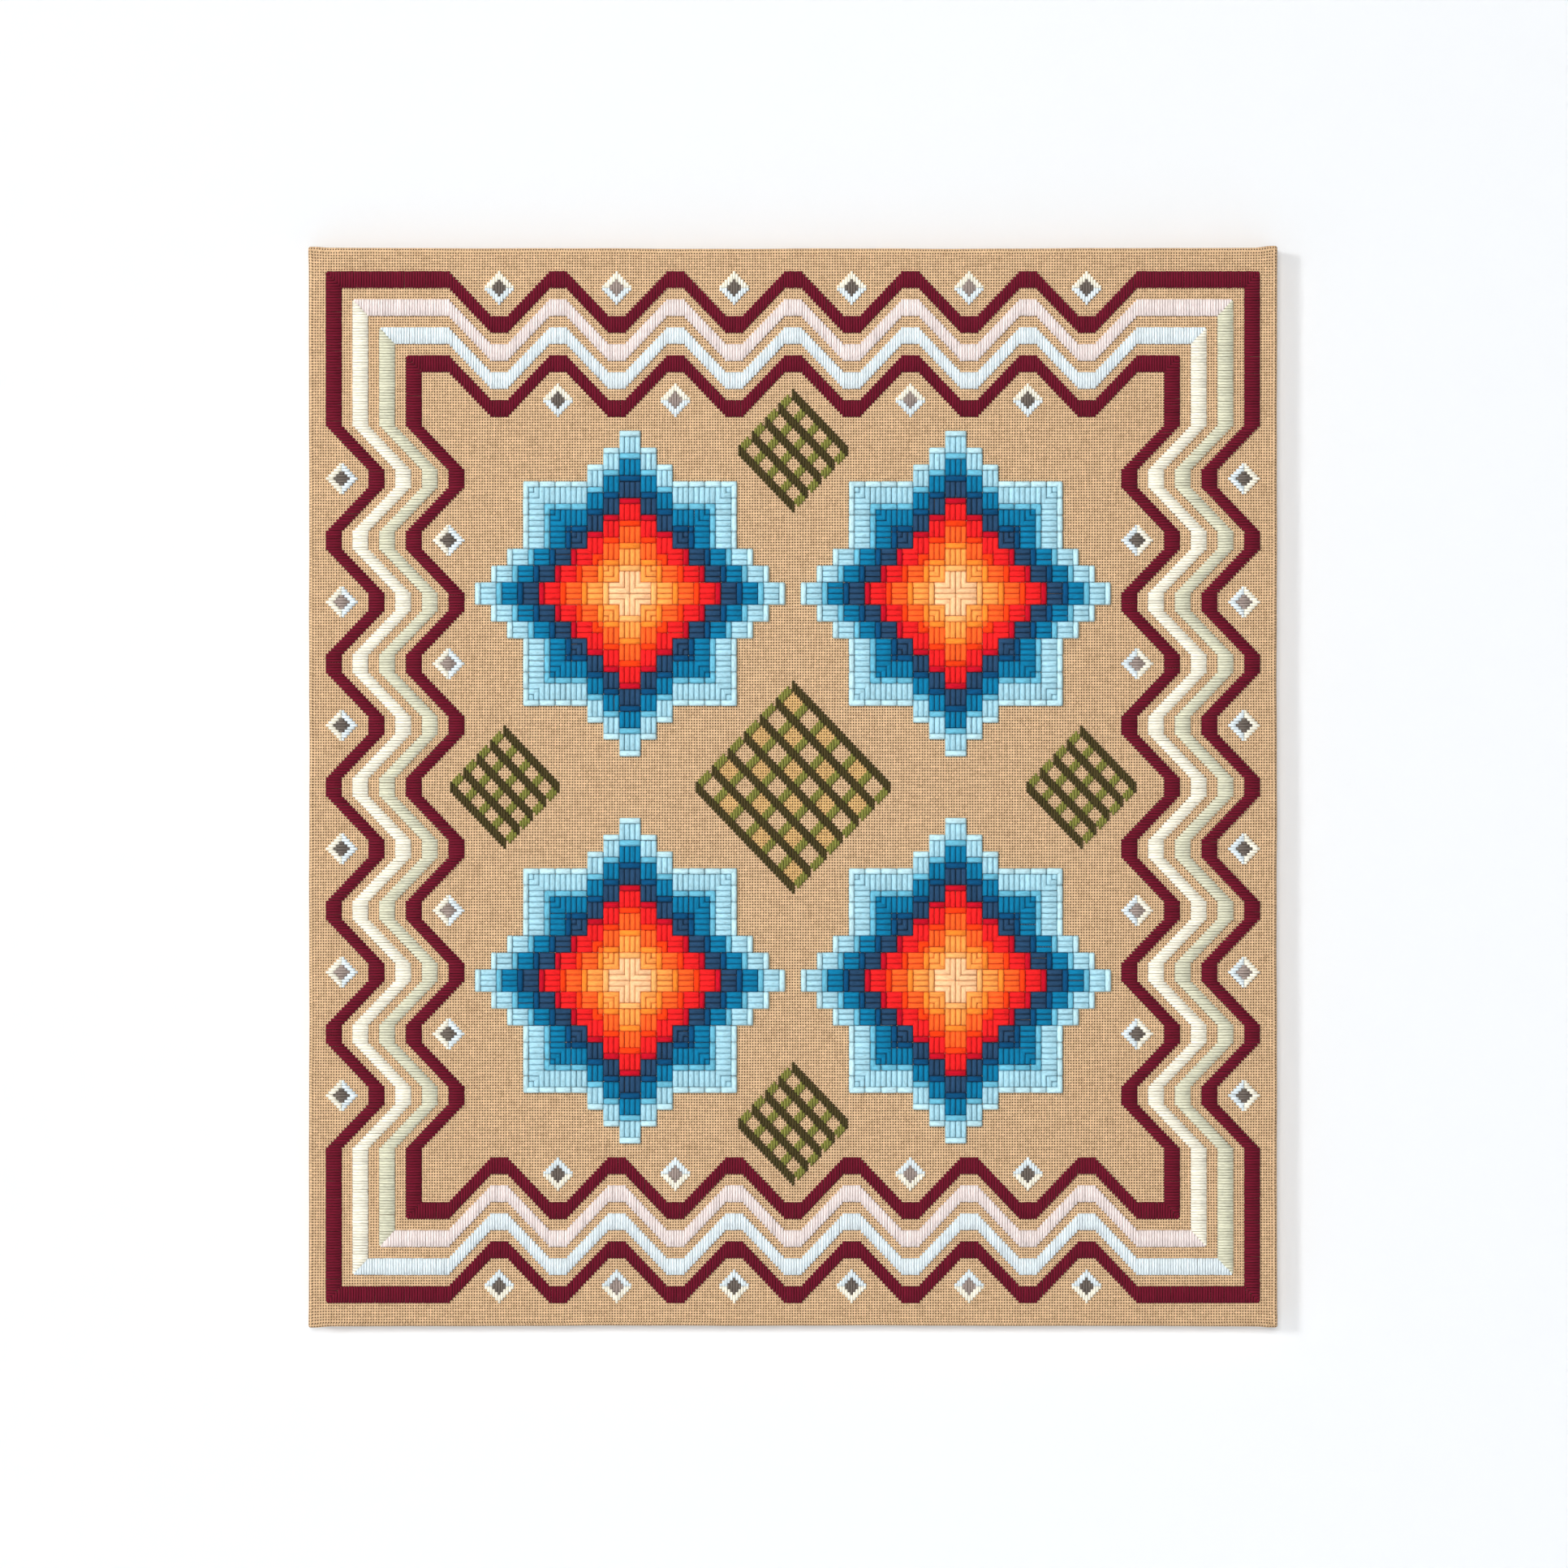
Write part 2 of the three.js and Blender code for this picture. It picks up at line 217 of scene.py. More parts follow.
class CanvasSettings(bpy.types.PropertyGroup):
    """Sizes and colours of the stretched canvas."""

    width: size("Width", "Width of the stretched canvas", 0.5)
    height: size("Height", "Height of the stretched canvas", 0.557)
    depth: size("Depth", "From the wall to the canvas's face", 0.0206)
    thickness: size("Thickness", "Thickness of the canvas", 0.001)
    hem: size("Hem", "How far the canvas is turned over behind", 0.028)
    front_fold: size("Front fold", "Radius of the fold at the face", 0.0018)
    back_fold: size("Back fold", "Radius of the fold behind", 0.0014)
    corner: size("Corner", "Radius of the panel's corners", 0.0012)
    threads_across: count("Threads across", "Threads counted across the panel", 363)
    threads_up: count("Threads up", "Threads counted up the panel", 385)
    thread: colour("Thread", "Colour of the canvas threads", 214, 179, 140)
    thread_dark: colour("Darker thread", "Colour of the more tanned threads", 190, 156, 119)
    # The hole colour is painted shade: the shaded hollow behind the canvas, as seen through its holes.
    hole: colour("Hole", "Colour seen in the holes between threads", 74, 50, 28)
    wash: colour("Wash", "Stain on every other cell of the middle trellis", 255, 246, 208)


class BarSettings(bpy.types.PropertyGroup):
    """Sizes and colours of the stretcher bars."""

    width: size("Width", "Width of a bar", 0.04)
    depth: size("Depth", "Depth of a bar", 0.018)
    lip_width: size("Lip width", "Width of the raised outer lip", 0.0055)
    lip_rise: size("Lip rise", "How far the lip stands above the face", 0.0026)
    lip_fall: size("Lip fall", "Width of the slope below the lip", 0.0012)
    slope: size("Slope", "How far the face falls to the inner edge", 0.001)
    rounding: size("Rounding", "Radius of the eased edges", 0.001)
    gap: size("Gap", "Play between pieces", 0.0003)
    drawn_in: size("Drawn in", "Most that the canvas's edges draw in", 0.0005)
    pale: colour("Pale wood", "Colour of the early wood", 214, 182, 134)
    dark: colour("Dark wood", "Colour of the late wood", 182, 140, 92)


class DesignSettings(bpy.types.PropertyGroup):
    """Thread counts of the stitched design."""

    border_across: count("Border across", "Half width of the border's outer line, in threads", 175)
    border_up: count("Border up", "Half height of the border's outer line, in threads", 184)
    stitch: count("Stitch", "Threads under one stitch", 6)
    bare: count("Bare", "Bare threads between border rows", 4)
    wave_depth: count("Wave depth", "Threads that the zigzag swings", 16)
    wave_flat: count("Wave flat", "Threads of each flat of the zigzag", 6)
    wave_repeats: count("Wave repeats", "Zigzags from the middle of a side to its corner", 3)
    star_across: count("Star across", "Star centres from the middle, in threads", 61)
    star_up: count("Star up", "Star centres from the middle, in threads", 69)
    star_tip: count("Star tip", "Threads from a star's centre to its points", 58)
    star_drop: count("Star drop", "Threads that each step of a star drops", 6)
    star_row: count("Star row", "Threads from one row of a star to the next", 8)
    star_edging: count("Star edging", "Threads of each row that its backstitches cover", 2)
    star_strand: count("Star strand", "Threads from one long stitch of a star to the next", 2)
    seam: share("Seam", "Threads that stitches run on past a diagonal seam", 0.4)
    trellis_half: count("Trellis bar", "Half the threads under a trellis stitch", 2)
    accent_half: count("Accent", "Half the threads across a small diamond", 6)
    accent_heart: count("Accent heart", "Half the threads across its heart", 3)


class YarnSettings(bpy.types.PropertyGroup):
    """How the yarn lies, and its colours."""

    rise: size("Rise", "How far a stitch stands above the canvas", 0.00125)
    back_rise: size("Back rise", "How far a strand stands behind the canvas", 0.0007)
    fill: share("Fill", "Width of a stitch as a share of the thread pitch", 0.985)
    tuck: share("Tuck", "Threads that a stitch's end is drawn in at its hole", -0.13)
    shoulder: size("Shoulder", "Length over which a stitch rises from its hole", 0.0006)
    slant: share("Slant", "Strands' widths that the yarn moves on behind the canvas", 0.8)
    burgundy: colour("Burgundy", "Border lines", 112, 20, 42)
    pink: colour("Pink", "Pale band", 238, 224, 220)
    pale_blue: colour("Pale blue", "Pale band", 226, 236, 240)
    sage: colour("Sage", "Pale band", 218, 216, 192)
    cream: colour("Cream", "Pale band", 246, 240, 222)
    frost: colour("Frost", "Edging of the stars' ice row", 190, 226, 234)
    ice: colour("Ice", "Outermost row of the stars", 164, 208, 222)
    sky: colour("Sky", "Edging of the stars' blue row", 104, 182, 208)
    blue: colour("Blue", "Row of the stars", 8, 118, 160)
    navy: colour("Navy", "Edging of the stars' slate row", 6, 76, 120)
    slate: colour("Slate", "Row of the stars", 38, 70, 102)
    crimson: colour("Crimson", "Edging of the stars' red row", 196, 10, 36)
    red: colour("Red", "Row of the stars", 236, 32, 34)
    scarlet: colour("Scarlet", "Edging of the stars' orange row", 250, 62, 14)
    orange: colour("Orange", "Row of the stars", 252, 98, 36)
    amber: colour("Amber", "Edging of the stars' apricot row", 254, 136, 44)
    apricot: colour("Apricot", "Row of the stars", 255, 156, 74)
    honey: colour("Honey", "Edging of the stars' heart", 255, 178, 104)
    peach: colour("Peach", "Heart of the stars", 255, 196, 146)
    olive: colour("Olive", "Rising trellis bars", 132, 132, 62)
    moss: colour("Moss", "Falling trellis bars", 76, 66, 36)
    grey: colour("Grey", "Hearts of the small diamonds", 114, 104, 96)
    taupe: colour("Taupe", "Hearts of the small diamonds", 164, 148, 140)


class StageSettings(bpy.types.PropertyGroup):
    """Camera, light and backdrop."""

    distance: size("Distance", "From the lens to the canvas's face", 2.6)
    view: size("View", "Width of the canvas plane that the frame shows", 0.809)
    aside: size("Aside", "Lens to the left of the panel's middle", 0.0046)
    above: size("Above", "Lens above the panel's middle", 0.0016)
    floor_drop: size("Floor", "Floor below the panel's middle", 0.6)
    reach: size("Reach", "Width of the floor and backdrop", 6.0)
    sky_strength: share("Sky strength", "Strength of the even light", 0.15)
    paint: colour("Paint", "Backdrop and floor", 236, 238, 240)
    wall_gap: size("Wall gap", "From the panel's back plane to the backdrop", 0.0005)
    surround: size("Surround", "Distance of the pale surround that other views see", 9.0)
    surround_glow: share("Surround glow", "Strength of the surround's light", 0.95)


# Colours and meshes


def linear(display):
    """A display colour as light, with an opaque alpha: the usual two-part display curve."""
    value = np.asarray(display, float)
    light = np.where(value <= 0.04045, value / 12.92, ((value + 0.055) / 1.055) ** 2.4)
    return (*light, 1.0)


def quad_mesh(name, points, quads, flat_map, map_name):
    """A mesh from points, four-sided faces and one map place for each face corner."""
    mesh = bpy.data.meshes.new(name)
    mesh.from_pydata(points, [], quads)
    layer = mesh.uv_layers.new(name=map_name)
    layer.uv.foreach_set("vector", np.asarray(flat_map, np.float32).ravel())
    mesh.shade_smooth()
    mesh.validate()
    return mesh


def place(name, mesh, material, nodes):
    """Puts a finished piece into the scene, in place of the solids that it stands for."""
    mesh.materials.append(material)
    piece = bpy.data.objects.new(name, mesh)
    bpy.context.scene.collection.objects.link(piece)
    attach(piece, "root")
    if nodes:
        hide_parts(*nodes)
    return piece


def middle():
    """Height of the panel's middle in the frame: half a hem and half the panel below the origin's level."""
    canvas = bpy.context.scene.needlepoint_canvas
    return canvas.hem / 2 - canvas.height / 2


def pitches():
    """Width and height of one thread of the canvas."""
    canvas = bpy.context.scene.needlepoint_canvas
    return canvas.width / canvas.threads_across, canvas.height / canvas.threads_up


# Materials


class Nodes:
    """Adds shader nodes and joins them, with one call for each node."""

    def __init__(self, name):
        self.material = bpy.data.materials.new(name)
        self.material.use_nodes = True
        self.tree = self.material.node_tree
        self.tree.nodes.clear()

    def add(self, kind, inputs=None, **fields):
        """A node of a kind, with fields set and inputs joined or given a value."""
        node = self.tree.nodes.new(kind)
        for field, value in fields.items():
            setattr(node, field, value)
        for key, value in (inputs or {}).items():
            if isinstance(value, bpy.types.NodeSocket):
                self.tree.links.new(value, node.inputs[key])
            else:
                node.inputs[key].default_value = value
        return node

    def ramp(self, amount, *stops):
        """The colour at a share from 0 to 1 between stops of place and colour."""
        node = self.add("ShaderNodeValToRGB", {"Fac": amount})
        steps = node.color_ramp.elements
        while len(steps) < len(stops):
            steps.new(1.0)
        for step, (at, tint) in zip(steps, stops):
            step.position, step.color = at, tint
        return node.outputs["Color"]

    def uv(self, name):
        """The place on a map of the mesh."""
        return self.add("ShaderNodeUVMap", uv_map=name).outputs["UV"]

    def mapped(self, vector, **inputs):
        """A place that is moved, turned or scaled."""
        return self.add("ShaderNodeMapping", {"Vector": vector, **inputs}).outputs["Vector"]

    def noise(self, vector, **inputs):
        """The outputs of flat noise at a place."""
        node = self.add("ShaderNodeTexNoise", {"Vector": vector, **inputs}, noise_dimensions="2D")
        return node.outputs

    def number(self, operation, *values):
        """The result of arithmetic on numbers."""
        return self.add("ShaderNodeMath", dict(enumerate(values)), operation=operation).outputs["Value"]

    def vector(self, operation, *values):
        """The result of arithmetic on vectors."""
        node = self.add("ShaderNodeVectorMath", dict(enumerate(values)), operation=operation)
        return node.outputs["Vector"]

    def between(self, value, low, high):
        """How far a value is from one bound to the other, from 0 to 1."""
        node = self.add("ShaderNodeMapRange", {"Value": value, "From Min": low, "From Max": high})
        return node.outputs["Result"]

    def mix(self, factor, first, second, **fields):
        """A value or colour part of the way from one to another."""
        node = self.add("ShaderNodeMix", {"Factor": factor, "A": first, "B": second}, **fields)
        return node.outputs["Result"]

    def bump(self, height, strength, distance):
        """A normal tilted by the slope of a height."""
        inputs = {"Height": height, "Strength": strength, "Distance": distance}
        return self.add("ShaderNodeBump", inputs).outputs["Normal"]

    def surface(self, inputs):
        """Finishes the material with one principled surface."""
        return self.finish(self.add("ShaderNodeBsdfPrincipled", inputs).outputs["BSDF"])

    def finish(self, shader):
        """Joins the last shader to the surface."""
        self.add("ShaderNodeOutputMaterial", {"Surface": shader})
        return self.material


def shaded(tint, factor):
    """A colour made lighter or darker, with its alpha kept."""
    return (*(min(1.0, channel * factor) for channel in tint[:3]), 1.0)


def yarn_material(name, tint):
    """Soft yarn: fibres streak along each stitch, plies twist across it, each stitch has its own tone and
    painted shade darkens it where it dips into a hole or lies against the next strand.
    """
    n = Nodes(name)
    strand = n.uv("strand")
    fibre = n.noise(n.mapped(strand, Scale=(5.0, 0.35, 1.0)), Scale=1.0, Detail=3.0, Roughness=0.6)["Fac"]
    streaks = n.ramp(fibre, (0.25, shaded(tint, 0.82)), (0.5, shaded(tint, 1.06)), (0.8, shaded(tint, 1.2)))
    # The shade attribute holds each stitch's own tone together with the painted shade of its hollows.
    shade = n.add("ShaderNodeAttribute", attribute_name="shade").outputs["Fac"]
    toned_with_painted_shade = n.add("ShaderNodeHueSaturation", {"Color": streaks, "Value": shade}).outputs["Color"]
    twist = n.mapped(strand, Rotation=(0.0, 0.0, 0.7), Scale=(2.2, 1.1, 1.0))
    plies = n.add("ShaderNodeTexWave", {"Vector": twist, "Scale": 0.8, "Distortion": 1.5}).outputs["Fac"]
    return n.surface(
        {
            "Base Color": toned_with_painted_shade,
            "Normal": n.bump(plies, 0.35, 0.00012),
            "Roughness": 0.9,
            "Specular IOR Level": 0.1,
            "Sheen Weight": 0.05,
            "Sheen Roughness": 0.5,
        }
    )


def canvas_material(canvas):
    """Plain weave counted in threads: a hole, where both cosines of the thread place peak, is painted the
    shade of the hollow behind.

    The product of the two half-rate sines says which thread lies on top. Slubs and tanning vary along
    threads, and every other cell of the middle trellis has a yellow wash: a checker turned by an eighth.
    """
    n = Nodes("open_canvas")
    across, up = pitches()
    cloth = n.uv("cloth")
    sway = n.noise(cloth, Scale=18.0, Detail=2.0)["Color"]
    pulled = n.vector("ADD", cloth, n.vector("MULTIPLY", sway, (0.0005, 0.0005, 0.0)))
    threads = n.vector("MULTIPLY", pulled, (1 / across, 1 / up, 0.0))

    def wave(rate, operation):
        swung = n.vector(operation, n.vector("MULTIPLY", threads, (rate, rate, 0.0)))
        return n.add("ShaderNodeSeparateXYZ", {"Vector": swung}).outputs

    def slub(stretch):
        return n.noise(n.vector("MULTIPLY", threads, stretch), Scale=1.0, Detail=2.0)["Fac"]

    peaks = wave(math.tau, "COSINE")
    hole = n.between(n.number("MINIMUM", peaks["X"], peaks["Y"]), -0.25, 0.35)
    turns = wave(math.pi, "SINE")
    lift = n.between(n.number("MULTIPLY", turns["X"], turns["Y"]), -1.0, 1.0)
    mixed = n.mix(lift, slub((0.9, 0.12, 0.0)), slub((0.12, 0.9, 0.0)))
    knot = n.vector("FLOOR", threads)
    speck = n.add("ShaderNodeTexWhiteNoise", {"Vector": knot}, noise_dimensions="2D").outputs["Value"]
    tan = n.ramp(
        n.mix(0.22, mixed, speck),
        (0.25, linear(canvas.thread_dark)),
        (0.5, linear(canvas.thread)),
        (0.75, shaded(linear(canvas.thread), 1.2)),
    )
    trellis = TRELLIS_SPOTS[0]
    cell = math.sqrt(2) / trellis["spacing"]
    eighth = (0.0, 0.0, math.pi / 4)
    turn = n.mapped(threads, Location=(0.0, 0.0, 0.5), Rotation=eighth, Scale=(cell, cell, 1.0))
    cells = n.add("ShaderNodeTexChecker", {"Vector": turn, "Scale": 1.0}).outputs["Fac"]
    reach = n.add("ShaderNodeSeparateXYZ", {"Vector": n.vector("ABSOLUTE", turn)}).outputs
    furthest = n.number("MAXIMUM", reach["X"], reach["Y"])
    inside = n.number("LESS_THAN", furthest, float(trellis["bars"]))
    washed = n.number("MULTIPLY", cells, inside)
    stained = n.mix(washed, tan, linear(canvas.wash), data_type="RGBA", blend_type="MULTIPLY")
    # Painted shade: each hole takes the hole colour, the shade of the hollow behind the canvas.
    toned = n.mix(hole, stained, linear(canvas.hole), data_type="RGBA")
    height = n.number("SUBTRACT", n.number("MULTIPLY", lift, 0.3), hole)
    return n.surface(
        {
            "Base Color": toned,
            "Normal": n.bump(height, 0.6, 0.0003),
            "Roughness": 0.9,
            "Specular IOR Level": 0.15,
        }
    )


def wood_material(bars):
    """Planed softwood: growth rings stretched along the bar, with fine pores as bump."""
    n = Nodes("stretcher_wood")
    length = n.uv("grain")
    rings_at = n.mapped(length, Scale=(2.2, 90.0, 1.0))
    rings = n.noise(rings_at, Scale=1.0, Detail=4.0, Distortion=0.6)["Fac"]
    pale = linear(bars.pale)
    grain = n.ramp(rings, (0.34, linear(bars.dark)), (0.5, pale), (0.72, pale))
    pores = n.noise(n.mapped(length, Scale=(60.0, 1500.0, 1.0)), Scale=1.0)["Fac"]
    normal = n.bump(pores, 0.25, 0.0002)
    return n.surface({"Base Color": grain, "Normal": normal, "Roughness": 0.62, "Specular IOR Level": 0.3})


def paint_material(name, tint, one_sided):
    """Matt paint. A one-sided backdrop is clear from behind, so that the panel's back can be looked at."""
    n = Nodes(name)
    matt = {"Base Color": tint, "Roughness": 0.9, "Specular IOR Level": 0.1}
    if not one_sided:
        return n.surface(matt)
    paint = n.add("ShaderNodeBsdfPrincipled", matt)
    behind = n.add("ShaderNodeNewGeometry").outputs["Backfacing"]
    clear = n.add("ShaderNodeBsdfTransparent")
    mixed = n.add("ShaderNodeMixShader", {0: behind, 1: paint.outputs["BSDF"], 2: clear.outputs["BSDF"]})
    return n.finish(mixed.outputs["Shader"])


# The canvas


def stations(half):
    """Places along an edge from end to end: close at the folded corners, and evenly apart between them."""
    near = np.array(CORNER_PLACES) / 1000
    reach = half - near[-1]
    inner = np.linspace(-reach, reach, 2 * round(reach / EDGE_SPACING) + 1)
    return np.concatenate([near[:-1] - half, inner, (half - near[:-1])[::-1]])


def edge_offset(side, along, half, deep):
    """How far an edge stands out: its ends are pleats, its middle is drawn in and slow ripples run along it.

    A pleat is a step whose edge slants away from the corner towards the back, and deep runs from 0 at the
    face to 1 at the back.
    """
    edge = EDGES[side]
    slant = PLEAT["reach"] + PLEAT["more_reach"] * deep
    softness = PLEAT["softness"] + PLEAT["more_softness"] * deep

    def pleat(distance):
        exponent = np.clip(2 * (distance - slant) / softness, -EXPONENT_LIMIT, EXPONENT_LIMIT)
        return 1 / (1 + np.exp(exponent))

    swing = 1 - (along / half) ** 2
    ripple = sum(
        row["height"] * np.sin(along * row["rate"] + row["phases"] * edge["phase"]) for row in RIPPLES
    )
    ears = edge["start_ear"] * pleat(half + along) + edge["end_ear"] * pleat(half - along)
    return ears + swing * (ripple - edge["drawn_in"])


def uneven(x, z, deep, half_x, half_z):
    """Moves the points of a flat rectangle out by each edge's offset, which fades out close to that edge."""

    def near(distance):
        return np.clip(1 - (distance - FADE["start"]) / FADE["over"], 0, 1)

    up = edge_offset("top", x, half_x, deep) * near(half_z - z)
    down = edge_offset("bottom", x, half_x, deep) * near(half_z + z)
    right = edge_offset("right", z, half_z, deep) * near(half_x - x)
    left = edge_offset("left", z, half_z, deep) * near(half_x + x)
    return x + right - left, z + up - down


def rounded(x, z, half_x, half_z, radius):
    """Turns the square corner of a rectangle of those half sizes into an arc of that radius."""
    over_x = np.abs(x) - (half_x - radius)
    over_z = np.abs(z) - (half_z - radius)
    in_corner = (over_x > 0) & (over_z > 0)
    length = np.where(in_corner, np.hypot(over_x, over_z), 1.0)
    scale = np.where(in_corner, np.maximum(over_x, over_z) / length, 1.0)
    return (
        np.where(in_corner, np.sign(x) * (half_x - radius + over_x * scale), x),
        np.where(in_corner, np.sign(z) * (half_z - radius + over_z * scale), z),
    )


def canvas_profile(canvas):
    """Rows of inset from the panel's edge and depth: round the front fold, along the side, in over the hem.

    The rows come back on the inner side, one thickness in, and end where the inner face begins.
    """
    face, thick, count_of = -canvas.depth, canvas.thickness, PROFILE_ROWS
    fold, turn = canvas.front_fold, canvas.back_fold
    front = np.linspace(0, math.pi / 2, count_of["front_fold"])
    back = np.linspace(0, math.pi / 2, count_of["back_fold"])
    side = np.linspace(face + fold, -turn, count_of["side"])[1:-1]
    hem = np.linspace(turn, canvas.hem, count_of["hem"])[1:]
    hem_inside = np.linspace(canvas.hem, thick, count_of["hem_inside"])
    side_inside = np.linspace(-thick, face + thick, count_of["side_inside"])[1:]
    stretches = (
        (fold * (1 - np.sin(front)), face + fold * (1 - np.cos(front))),
        (np.zeros_like(side), side),
        (turn * (1 - np.cos(back)), -turn * (1 - np.sin(back))),
        (hem, np.zeros_like(hem)),
        (hem_inside, np.full_like(hem_inside, -thick)),
        (np.full_like(side_inside, thick), side_inside),
    )
    return np.concatenate([np.stack(stretch, 1) for stretch in stretches])


def canvas_shell(canvas):
    """Points, faces and map of the canvas as one closed sheet: two flat grids joined by rows round the edge.

    The map gives each face corner its place on the flat cut, so the weave runs on over the folds.
    """
    half_x, half_z = canvas.width / 2, canvas.height / 2
    along_x, along_z = stations(half_x) / half_x, stations(half_z) / half_z
    nx, nz = len(along_x) - 1, len(along_z) - 1
    grid_x, grid_z = np.meshgrid(along_x, along_z, indexing="ij")
    number = np.arange((nx + 1) * (nz + 1)).reshape(nx + 1, nz + 1)
    ring = np.concatenate([number[:-1, -1], number[-1, :0:-1], number[:0:-1, 0], number[0, :-1]])
    side = np.repeat(np.arange(4), [nx, nz, nx, nz])
    ring_x, ring_z = grid_x.ravel()[ring], grid_z.ravel()[ring]
    profile = canvas_profile(canvas)
    deep = np.clip(1 + profile[:, 1] / canvas.depth, 0, 1)

    def laid(unit_x, unit_z, inset, at):
        wide, tall = half_x - inset, half_z - inset
        x, z = rounded(unit_x * wide, unit_z * tall, wide, tall, np.maximum(canvas.corner - inset, 0))
        return uneven(x, z, at, half_x, half_z)

    def stacked(x, y, z):
        return np.stack([x.ravel(), np.broadcast_to(y, x.shape).ravel(), z.ravel() + middle()], 1)

    face = stacked(*np.insert(laid(grid_x, grid_z, profile[0, 0], 0.0), 1, profile[0, 1], axis=0))
    lining = stacked(*np.insert(laid(grid_x, grid_z, profile[-1, 0], 0.0), 1, profile[-1, 1], axis=0))
    rows_x, rows_z = laid(ring_x[None], ring_z[None], profile[1:-1, :1], deep[1:-1, None])
    along_corner = np.minimum((1 - np.abs(ring_x)) * half_x, half_z)
    from_corner = along_corner + np.minimum((1 - np.abs(ring_z)) * half_z, half_x)
    on_back = profile[1:-1, 1:] > -1e-6
    on_hem = np.clip((profile[1:-1, :1] - CREASE["start"]) / CREASE["over"], 0, 1) * on_back
    crease = -CREASE["depth"] * on_hem * np.exp(-((from_corner / CREASE["width"]) ** 2))
    rows = stacked(rows_x, profile[1:-1, 1:] + crease, rows_z)
    points = np.concatenate([face, lining, rows])

    columns = len(ring)
    first_row = 2 * number.size
    order = np.concatenate(
        [ring[None], first_row + np.arange(rows_x.size).reshape(rows_x.shape), number.size + ring[None]]
    )
    following = np.roll(order, -1, axis=1)
    edge_faces = np.stack([order[:-1], following[:-1], following[1:], order[1:]], -1).reshape(-1, 4)
    grid = np.stack([number[:-1, :-1], number[1:, :-1], number[1:, 1:], number[:-1, 1:]], -1).reshape(-1, 4)
    quads = np.concatenate([grid, grid[:, ::-1] + number.size, edge_faces])

    step = np.linalg.norm(np.diff(profile, axis=0), axis=1)
    run = np.concatenate([[0.0], np.cumsum(step)])
    turn = int(np.argmax(profile[:, 0]))
    run = np.where(np.arange(len(run)) <= turn, run, 2 * run[turn] - run)
    flat_grid = np.stack([grid_x * half_x, grid_z * half_z], -1).reshape(-1, 2)
    out_x, out_z = half_x - profile[0, 0] + run, half_z - profile[0, 0] + run
    scale_x = (half_x - profile[:, 0])[:, None, None]
    scale_z = (half_z - profile[:, 0])[:, None, None]
    ring_x_at = np.stack([ring_x, np.roll(ring_x, -1)], -1)[None] * scale_x
    ring_z_at = np.stack([ring_z, np.roll(ring_z, -1)], -1)[None] * scale_z
    on_side = side[None, :, None]
    out_x, out_z = out_x[:, None, None], out_z[:, None, None]
    edge_u = np.select([on_side % 2 == 0, on_side == 1, on_side == 3], [ring_x_at, out_x, -out_x])
    edge_v = np.select([on_side % 2 == 1, on_side == 0, on_side == 2], [ring_z_at, out_z, -out_z])
    edge_map = np.stack([edge_u, edge_v], -1)
    near_row, far_row = edge_map[:-1], edge_map[1:]
    edge_corners = np.stack([near_row[:, :, 0], near_row[:, :, 1], far_row[:, :, 1], far_row[:, :, 0]], 2)
    edge_corners = edge_corners.reshape(columns * step.size, 4, 2)
    flat_map = np.concatenate([flat_grid[grid], flat_grid[grid[:, ::-1]], edge_corners])
    return points, quads, flat_map


# The stretcher bars


def eased(corners, radius, steps=4):
    """A closed outline with each corner replaced by an arc: a quadratic curve from one side to the next."""
    before, after = np.roll(corners, 1, axis=0), np.roll(corners, -1, axis=0)

    def towards(other):
        way = other - corners
        length = np.linalg.norm(way, axis=1, keepdims=True)
        return corners + way * np.minimum(radius / length, EASED_SHARE)

    t = np.linspace(0, 1, steps)[None, :, None]
    start, end = towards(before)[:, None], towards(after)[:, None]
    curve = (1 - t) ** 2 * start + 2 * t * (1 - t) * corners[:, None] + t**2 * end
    return curve.reshape(-1, 2)


def bar_section(bars, canvas):
    """The bar's outline as inset from its outer face and depth: a raised lip, then a face sloping inward."""
    back = -(canvas.thickness + bars.gap)
    front = back - bars.depth
    corners = np.array(
        [
            (0.0, back),
            (0.0, front),
            (bars.lip_width, front),
            (bars.lip_width + bars.lip_fall, front + bars.lip_rise),
            (bars.width, front + bars.lip_rise + bars.slope),
            (bars.width, back),
        ]
    )
    return eased(corners, bars.rounding)


def turned(side, along, out):
    """A place along a side and out from the middle, as panel X and Z: quarter turns of the top side."""
    return {
        "top": (along, out),
        "right": (out, -along),
        "bottom": (-along, -out),
        "left": (-out, along),
    }[side]


